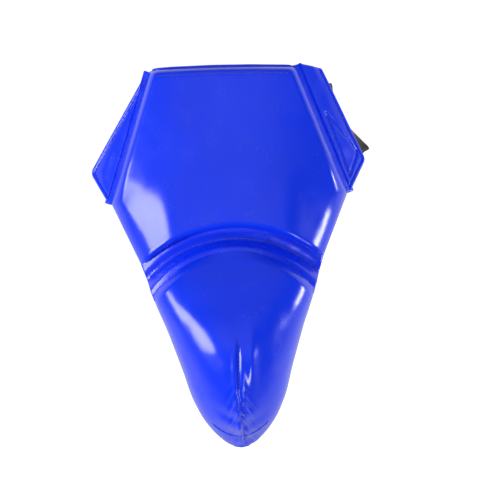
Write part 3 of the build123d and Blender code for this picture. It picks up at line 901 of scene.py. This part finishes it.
def make_back_panel():
    """Cloth panel behind the cup, round its mouth, with its sewn edge."""
    inner_x, inner_z = round_ring(mouth_outline(7.5))
    outer_x, outer_z = round_ring(cup_outline(1.4))
    share = ease(20, 0.6)[:, None]
    x = inner_x + share * (outer_x - inner_x)
    z = inner_z + share * (outer_z - inner_z)
    wide = np.hypot(outer_x - inner_x, outer_z - inner_z)
    puff = 0.7 * roll(np.minimum(share, 1 - share) * wide, 4.0)
    front = xyz(x, cup_back(z) + 0.35, z)
    rear = front.copy()
    creases = np.abs(wobble(front, 17, 0.3)) * roll(share, 0.3) * roll(1 - share, 0.3)
    rear[..., 1] += 0.15 + puff + creases
    panel = grid_solid("cup_panel_cloth", front, rear, "lining_black", loop=True)
    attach(panel, "cup")
    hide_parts("cup_back_panel")

    x, z = round_ring(cup_outline(5.0))
    path = xyz(x, cup_back(z) + 1.3, z)
    row = stitches("cup_panel_stitches", np.vstack([path, path[:1]]), (0, 1, 0), "thread_black")
    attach(row, "cup")


def make_bowls():
    """The cup's inner layers: foam, hard shell and lining, one inside another."""
    layers = [("cup_foam_bowl", 2.6, 9.6, 6.0, "foam_soft", "cup_foam"),
              ("cup_shell_bowl", 10.2, 13.0, 3.0, "shell", "hard_cup"),
              ("cup_lining_cloth", 13.6, 14.4, 0.6, "lining_black", "cup_lining")]
    for name, outer, inner, grow, slot, node in layers:
        edge_x, edge_z = round_ring(mouth_outline(grow))
        wall_steps = 1 - 0.1 * (1 - ease(14, 0.5))[1:]
        radius = np.concatenate([np.linspace(0.02, 0.9, 30), wall_steps])[:, None]
        x = radius * edge_x
        z = ring_centre_z + radius * (edge_z - ring_centre_z)
        wall = (1 - radius**7) ** 0.5
        sides = []
        for inset in (outer, inner):
            back = cup_back(z) - 0.2
            deep = np.minimum(cup_surface(x, z, inset), back)
            sides.append(xyz(x, back + (deep - back) * wall, z))
        near, far = sides
        far[..., 1] = np.maximum(far[..., 1], near[..., 1] + 0.5)
        bowl = grid_solid(name, near, far, slot, loop=True)
        close_middle(bowl, len(ring_turns), near.shape[0])
        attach(bowl, "cup")
        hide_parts(node)


def close_middle(piece, columns, rows):
    """Fills the small ring at the middle of a bowl's two walls."""
    work = bmesh.new()
    work.from_mesh(piece.data)
    work.verts.ensure_lookup_table()
    count = columns * rows
    inner = [f for f in work.faces if all(v.index % count < columns for v in f.verts)]
    between = [f for f in inner if len({v.index // count for v in f.verts}) == 2]
    bmesh.ops.delete(work, geom=between, context="FACES_ONLY")
    work.verts.ensure_lookup_table()
    work.faces.new([work.verts[j] for j in range(columns)])
    work.faces.new([work.verts[count + j] for j in range(columns)])
    bmesh.ops.triangulate(work, faces=[f for f in work.faces if len(f.verts) > 4])
    bmesh.ops.recalc_face_normals(work, faces=work.faces)
    work.to_mesh(piece.data)
    work.free()
    piece.data.shade_smooth()


def make_tip_binding():
    """Folded binding round the cup's tip, proud of the skin."""
    x = np.linspace(-tip_binding_half, tip_binding_half, 90)
    side_x, side_z = cup_outline(0.3)
    half = len(side_x) // 2
    order = np.argsort(side_x[half // 3:half])
    bottom = np.interp(np.abs(x), side_x[half // 3:half][order], side_z[half // 3:half][order])
    upper = np.maximum(tip_binding_top_z + 6.0 * (np.abs(x) / 18) ** 2, bottom + 3.0)
    v = ease(16, 0.5)[:, None]
    z = upper + v * (bottom - upper)
    ends = roll(tip_binding_half + 0.4 - np.abs(x), 4.0)
    lift = 0.25 + 0.7 * (roll(np.minimum(v, 1 - v) * (upper - bottom), 1.6) * ends)
    xs = np.broadcast_to(x, z.shape)
    y = cup_surface(xs, np.maximum(z, cup_tip_z + 1)) + cup_details(xs, z) - lift
    front = xyz(xs, y, z)
    front[..., 1] += wobble(front, 6, 0.5)
    back = front.copy()
    back[..., 1] = np.maximum(front[..., 1] + 0.6, cup_back(z) + 1.2 * v)
    band = grid_solid("tip_binding", front, back, "vinyl_blue")
    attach(band, "cup")
    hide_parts("crotch_binding")


make_back_panel()
make_bowls()
make_tip_binding()


# ---------------- wings
def wing_marks(side):
    """Top and low end of a wing's crease, and its tip."""
    return [np.array((side * x, y, z)) for x, y, z in (crease_top, crease_low, wing_tip)]


def wing_frame(side):
    """Origin and axes of a wing's middle plane: along the crease, away from it, outwards."""
    top, low, tip = wing_marks(side)
    out = unit(np.cross(low - top, tip - top) * side)
    along = unit((low - top) * side)
    return top, along, np.cross(out, along), out


def wing_corners(side):
    """Inner top, outer top, tip and inner low corners in the wing's own plane."""
    origin, along, away, _ = wing_frame(side)
    top, low, tip = [
        np.array([(mark - origin) @ along, (mark - origin) @ away]) for mark in wing_marks(side)
    ]
    edge, wide = tip - top, wing_top_width[side]
    outer_top = top + edge * (wide / np.linalg.norm(edge)) * wing_top_slant + np.array([0, wide])
    return np.array([top[0], wing_start]), outer_top, tip, np.array([low[0], wing_start])


def wing_point(side, flat, height):
    """World points of flat wing places at a height."""
    origin, along, away, out = wing_frame(side)
    flat = np.asarray(flat, float)
    height = np.asarray(height, float)[..., None]
    return origin + flat[..., :1] * along + flat[..., 1:2] * away + height * out


def patch_corners():
    """Corners of the closing wing's triangle of stitching, over its loop patch."""
    inner_top, outer_top, tip, inner_low = wing_corners(1)
    return [
        inner_top + (inner_low - inner_top) * 0.42 + np.array([0, 6]),
        tip + unit(outer_top - tip) * 12 - np.array([0, 7]),
        inner_low + np.array([-13, 5]),
    ]


def wing_distances(side, flat):
    """Distances inside a wing's outer, lower, top and inner edges."""
    inner_top, outer_top, tip, inner_low = wing_corners(side)
    x, y = flat[..., 0], flat[..., 1]
    return (near_line(x, y, outer_top, tip), near_line(x, y, tip, inner_low),
            near_line(x, y, inner_top, outer_top), near_line(x, y, inner_top, inner_low))


def wing_relief(side, flat):
    """Height of the wing's padded front above its middle plane."""
    outer, low, top, inner = wing_distances(side, flat)
    rim = np.minimum(outer, low)
    share = roll(outer, 4.0) * roll(low, 4.0) * roll(top, 3.5)
    height = 0.3 + 2.0 * share
    height += 0.8 * smooth_step(rim, 5, 15) * smooth_step(inner, 2, 16)
    height -= 1.1 * bell(rim - wing_seam_inset, 1.1) * smooth_step(top, 0, 4)
    if side > 0:
        corners = patch_corners()
        for i in range(3):
            line = near_line(flat[..., 0], flat[..., 1], corners[i - 1], corners[i])
            height -= 1.3 * bell(line, 1.3)
    return height


def wing_grid(side, rows, columns):
    """Flat places over a wing, with its tip rounded; s goes away from the crease."""
    inner_top, outer_top, tip, inner_low = wing_corners(side)
    s, t = np.meshgrid(ease(columns, 0.6), ease(rows, 0.5))
    s, t = s[..., None], t[..., None]
    flat = (1 - s) * ((1 - t) * inner_top + t * inner_low) + s * ((1 - t) * outer_top + t * tip)
    outer, low, _, _ = wing_distances(side, flat)
    a, b = wing_tip_radius - outer, wing_tip_radius - low
    corner = (a > 0) & (b > 0)
    shrink = np.where(corner, np.maximum(a, b) / np.maximum(np.hypot(a, b), 1e-6), 1.0)
    middle = tip + unit(outer_top - tip) * wing_tip_radius + unit(inner_low - tip) * wing_tip_radius
    return np.where(corner[..., None], middle + (flat - middle) * shrink[..., None], flat)


def line_points(a, b, count=60):
    """Even flat places between two corners."""
    t = np.linspace(0, 1, count)[:, None]
    return (1 - t) * a + t * b


def wing_stitches(name, side, lines, body):
    """Rows of stitches on a wing's front, along flat lines."""
    out = wing_frame(side)[3]
    rows = []
    for i, line in enumerate(lines):
        path = wing_point(side, line, wing_relief(side, line) + 0.1)
        rows.append(stitches(f"{name}_{i}", path, out))
    return join(name, rows, body)


def join(name, rows, body):
    """One piece made of several rows, riding on a body."""
    work = bmesh.new()
    for row in rows:
        work.from_mesh(row.data)
    mesh = rows[0].data
    work.to_mesh(mesh)
    work.free()
    for row in rows[1:]:
        bpy.data.objects.remove(row)
    mesh.shade_smooth()
    rows[0].name = name
    mesh.name = name
    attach(rows[0], body)
    return rows[0]


def inwards(way, towards):
    """Flat direction square to an edge, on the side of another direction."""
    square = np.array([-way[1], way[0]])
    return square if towards @ square > 0 else -square


def make_wing(side):
    """One hip wing: padded vinyl front, cloth back, edge seam."""
    name = wing_names[side]
    flat = wing_grid(side, 90, 60)
    front = wing_point(side, flat, wing_relief(side, flat))
    rim = nearest(*wing_distances(side, flat))
    front += wing_frame(side)[3] * (wobble(front, 20, 0.7, 5.0) * roll(rim, 8.0))[..., None]
    middle = wing_point(side, flat, -0.2 - 1.4 * roll(rim, 3.0))
    skin = grid_solid(name + "_skin", front, middle, "vinyl_blue", flat)
    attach(skin, name)
    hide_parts(name + "_cover", name + "_foam")

    cloth_flat = wing_grid(side, 60, 40)
    centre = cloth_flat.mean(axis=(0, 1))
    cloth_flat = centre + (cloth_flat - centre) * 0.94
    rim = nearest(*wing_distances(side, cloth_flat))
    near = wing_point(side, cloth_flat, np.full(rim.shape, -1.5))
    far = wing_point(side, cloth_flat, -1.8 - 1.1 * roll(rim, 4.0))
    cloth = grid_solid(name + "_cloth", near, far, "lining_black", cloth_flat)
    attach(cloth, name)
    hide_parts(name + "_lining")

    _, outer_top, tip, inner_low = wing_corners(side)
    edge_way, low_way = unit(tip - outer_top), unit(inner_low - tip)
    edge_in, low_in = inwards(edge_way, inner_low - tip), inwards(low_way, outer_top - tip)
    corner = tip + (edge_in + low_in) * wing_seam_inset / (1 + edge_in @ low_in)
    rows = [
        line_points(outer_top + edge_way * 4 + edge_in * wing_seam_inset, corner),
        line_points(corner, inner_low + low_in * wing_seam_inset - low_way * 3),
    ]
    row = wing_stitches(name + "_edge_stitches", side, rows, name)
    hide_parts(name + "_stitching")


def make_crease(side):
    """Bare skin that joins the pad's edge to a wing."""
    name = wing_names[side]
    _, _, away, out = wing_frame(side)
    t = np.linspace(-0.01, 1.01, 90)[:, None]
    top, low, _ = wing_marks(side)
    top[2] -= 2.0
    crease = (1 - t) * top + t * low
    z = crease[:, 2]
    half = pad_half(z) - 2.0
    pad_edge = xyz(side * half, arc_y(pad_seam, half) - 2.6, z)
    wing_edge = crease + away * (wing_start + 3.0) + out * 1.2
    valley = crease + out * 0.2 - np.array([side * 0.4, 0, 0])
    s = np.linspace(0, 1, 14)[None, :, None]
    path = (1 - s) ** 2 * pad_edge[:, None] + 2 * s * (1 - s) * valley[:, None]
    path = path + s**2 * wing_edge[:, None]
    facing = unit(out + np.array([side * -0.2, -0.6, 0]))
    front = path + facing * wobble(path, 9, 0.25)[..., None]
    back = path - facing * 1.4
    skin = grid_solid(name + "_crease_skin", front, back, "vinyl_blue")
    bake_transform(skin)


for side in (-1, 1):
    make_wing(side)
    make_crease(side)

corners = patch_corners()
patch_lines = [line_points(corners[i - 1], corners[i]) for i in range(3)]
patch_row = wing_stitches("loop_patch_stitches", 1, patch_lines, "wing_right")
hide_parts("loop_patch_stitching")


# ---------------- belt and straps
def strip(name, stations, width, thickness, slot, rows, start=0.0, columns=29, ripple=0.0):
    """Flat woven strip through stations of (position, across), and its length."""
    fine = spline(stations, rows)
    middle, across = fine[:, :3], unit(fine[:, 3:6])
    way = unit(np.gradient(middle, axis=0))
    across = unit(across - way * np.sum(across * way, axis=1, keepdims=True))
    out = np.cross(way, across)
    v = np.linspace(-0.5, 0.5, columns)
    along = lengths(middle) + start
    bead = 0.5 * thickness * (0.75 + 0.35 * bell((0.5 - np.abs(v)) * width - 1.6, 0.9))
    bead[[0, -1]] *= 0.45
    wave = ripple * np.sin(2 * pi * along / 34.0)[:, None] * (np.abs(v) * 2) ** 3
    body = middle[:, None] + across[:, None] * (v * width)[None, :, None]
    body = body + out[:, None] * wave[..., None]
    front = body + out[:, None] * bead[None, :, None]
    back = body - out[:, None] * bead[None, :, None]
    uvs = np.stack(np.meshgrid(along, (v + 0.5) * width, indexing="ij"), axis=-1)
    piece = grid_solid(name, front, back, slot, uvs)
    return piece, along[-1] - start


_, root_along, root_away, root_out = wing_frame(-1)
_, outer_top, tip, _ = wing_corners(-1)
edge_way = unit(tip - outer_top)
edge_out = np.array([edge_way[1], -edge_way[0]])
edge_middle = tip - edge_way * belt_edge_up_tip
root_height = -wing_half_thickness - belt_thickness / 2
root_across = edge_way[0] * root_along + edge_way[1] * root_away
root_way = edge_out[0] * root_along + edge_out[1] * root_away
hinge_point = wing_point(-1, edge_middle + edge_out * belt_hinge_gap, root_height)


def closing_plane():
    """Start of the belt's lap on the closing wing, its level, downward and outward directions."""
    origin, _, _, out = wing_frame(1)
    level = unit(np.cross((0, 0, 1), out))
    edge = np.array(belt_edge_point)
    return edge - out * ((edge - origin) @ out), level, -np.cross(out, level), out


def make_closing():
    """Loop patch on the closing wing and the hook patch pressed on it, cut on the wing's slant."""
    start, level, down, out = closing_plane()
    slope = np.tan(radians(belt_end_slant))
    for name, node, body, slot, near, far, margin in (
        ("loop_cloth", "loop_patch", "wing_right", "loop_black", -3.3, -4.3, 1.0),
        ("hook_cloth", "hook_patch", "belt", "hook_black", -4.6, -5.5, -1.0),
    ):
        reach = np.linspace(1.5 - margin, hook_length + margin, 16)
        d, k = np.meshgrid(reach, np.linspace(-hook_half_width, hook_half_width, 40))
        base = start - level * d[..., None] + (down + level * slope) * k[..., None]
        patch = grid_solid(name, base + out * near, base + out * far, slot)
        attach(patch, body)
        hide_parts(node)


def belt_stations():
    """Positions and across-directions of the belt from its root to its end."""
    root_steps = (-belt_root_depth - belt_hinge_gap, -14.0, -6.5)
    stations = [(*(hinge_point + root_way * d), *root_across) for d in root_steps]
    flat, level, down, close_out = closing_plane()
    hook_height = -wing_half_thickness - 2.8 - belt_thickness / 2
    hook_start = flat + close_out * hook_height
    middles = [hinge_point] + [np.array(row[:3]) for row in belt_route] + [hook_start]
    for i, (x, y, z, lean) in enumerate(belt_route):
        way = unit(middles[i + 2] - middles[i])
        outwards = unit(np.array([-way[1], way[0], 0]))
        across = np.array([0, 0, -cos(radians(lean))]) + outwards * sin(radians(lean))
        stations.append((x, y, z, *across))
    turn = radians(belt_end_slant)
    slant = down * cos(turn) + level * sin(turn)
    stations += [(*hook_start, *slant), (*(hook_start - level * hook_length), *down)]
    return stations


def make_belt():
    """Waist elastic: a root on the opening wing, a short bend, and the long run."""
    fine = spline(belt_stations(), 400)
    steps = lengths(fine)
    split = belt_root_depth + belt_hinge_gap + 16.0
    first = fine[steps <= split + 3.0][::4]
    rest = np.vstack([fine[steps >= split][::6], fine[-1:]])
    start, length = strip("belt_start", first, belt_width, belt_thickness, "elastic_black", 60)
    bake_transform(start)
    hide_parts("belt_root")
    run_width = belt_width - 0.3
    run, length = strip(
        "waist_belt", rest, run_width, belt_thickness, "elastic_black", 260, start=split, ripple=0.5
    )
    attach(run, "belt")
    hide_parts("waist_elastic")

    rows = []
    for d in (4.0, 7.0, 20.0):
        middle = hinge_point - root_way * (belt_hinge_gap + d)
        middle = middle - root_out * (belt_thickness / 2 + 0.15)
        path = [middle + root_across * k for k in np.linspace(-33, 12, 40)]
        rows.append(stitches(f"root_row_{d:.0f}", path, -root_out, "thread_black"))
    row = join("belt_root_stitches", rows, "wing_left")
    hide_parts("root_stitching")


def make_leg_straps():
    """Elastic straps from the pad's lower corners to the crotch."""
    for side, name in ((-1, "leg_strap_left"), (1, "leg_strap_right")):
        stations = []
        for x, y, z, degrees in strap_route:
            turn = radians(degrees)
            stations.append((side * x, y, z, cos(turn), side * sin(turn), 0))
        size = (strap_width, strap_thickness)
        strap, length = strip(
            name + "_elastic", stations, *size, "strap_black", 120, columns=15, ripple=0.2
        )
        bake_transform(strap)
        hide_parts(name)


make_closing()
make_belt()
make_leg_straps()


# ---------------- stage
def area_light(name, place, target, size, power, glossy=True):
    """Softbox that faces a target; a fill light isn't seen in glossy surfaces."""
    data = bpy.data.lights.new(name, "AREA")
    data.shape = "RECTANGLE"
    data.size, data.size_y = size
    data.energy = power
    light = bpy.data.objects.new(name, data)
    way = Vector(target) - Vector(place)
    light.matrix_world = Matrix.Translation(place) @ way.to_track_quat("-Z", "Y").to_matrix().to_4x4()
    light.visible_glossy = glossy
    bpy.context.scene.collection.objects.link(light)


def make_stage():
    """Pale seamless dish under and round the object, softboxes and a pale world."""
    floor_z, bend, far = -0.40, 0.8, 3.2
    profile = [(0.001, floor_z), (1.2, floor_z), (far - bend, floor_z)]
    for turn in np.linspace(0.1, pi / 2, 14):
        profile.append((far - bend + bend * sin(turn), floor_z + bend * (1 - cos(turn))))
    profile.append((far, floor_z + 4.0))
    turns = np.linspace(0, 2 * pi, 64, endpoint=False)
    points = [(r * cos(turn), r * sin(turn), z) for r, z in profile for turn in turns]
    mesh = bpy.data.meshes.new("backdrop")
    mesh.from_pydata(points, [], grid_faces(len(profile), len(turns), loop=True))
    mesh.shade_smooth()
    material, tree, shader = new_material("backdrop", (0.93, 0.93, 0.93), 0.9, Specular_IOR_Level=0.1)
    tint(tree, shader, noise_value(tree, 3.0), [(0.0, (0.92,) * 3), (1.0, (0.94,) * 3)])
    shader.inputs["Emission Color"].default_value = (1, 1, 1, 1)
    shader.inputs["Emission Strength"].default_value = 0.8
    mesh.materials.append(material)
    floor = bpy.data.objects.new("backdrop", mesh)
    bpy.context.scene.collection.objects.link(floor)
    floor.visible_glossy = floor.visible_diffuse = floor.visible_shadow = False

    middle = (0, -0.08, -0.14)
    area_light("softbox_left", (-1.24, -0.74, -0.31), middle, (0.6, 0.8), 17)
    area_light("softbox_right", (1.4, -0.14, -0.27), middle, (0.3, 0.35), 8)
    area_light("fill_top", (0.0, -0.9, 1.3), middle, (1.6, 1.2), 5, glossy=False)
    area_light("fill_front", (0.0, -2.4, 0.2), middle, (2.4, 2.0), 24, glossy=False)
    area_light("softbox_low", (0.5, -0.75, -1.15), middle, (0.28, 0.28), 5)
    area_light("softbox_back", (1.1, 1.2, 0.1), (0, 0, -0.12), (1.0, 1.0), 6, glossy=False)

    world = bpy.data.worlds.new("studio")
    bpy.context.scene.world = world
    world.use_nodes = True
    background = world.node_tree.nodes["Background"]
    background.inputs["Color"].default_value = (1, 1, 1, 1)
    # the room is brighter behind the object than in front of it
    tree = world.node_tree
    place = add_node(tree, "ShaderNodeTexCoord")
    axes = add_node(tree, "ShaderNodeSeparateXYZ")
    tree.links.new(place.outputs["Generated"], axes.inputs["Vector"])
    behind = maths(tree, "ADD", maths(tree, "MULTIPLY", axes.outputs["Y"], 1.8), 0.10)
    strength = maths(tree, "MINIMUM", maths(tree, "MAXIMUM", behind, 0.10), 0.75)
    tree.links.new(strength, background.inputs["Strength"])
    bpy.context.scene.view_settings.view_transform = "Standard"


def dress_frame():
    """CAD nodes that stay in sight get their finished materials."""
    slots = {row["node"]: row["material_slot"] for row in frame["record"]["subparts"]}
    for node, piece in frame["nodes"].items():
        if piece.hide_render:
            continue
        piece.data.materials.clear()
        piece.data.materials.append(materials[slots[node]])


make_stage()
dress_frame()
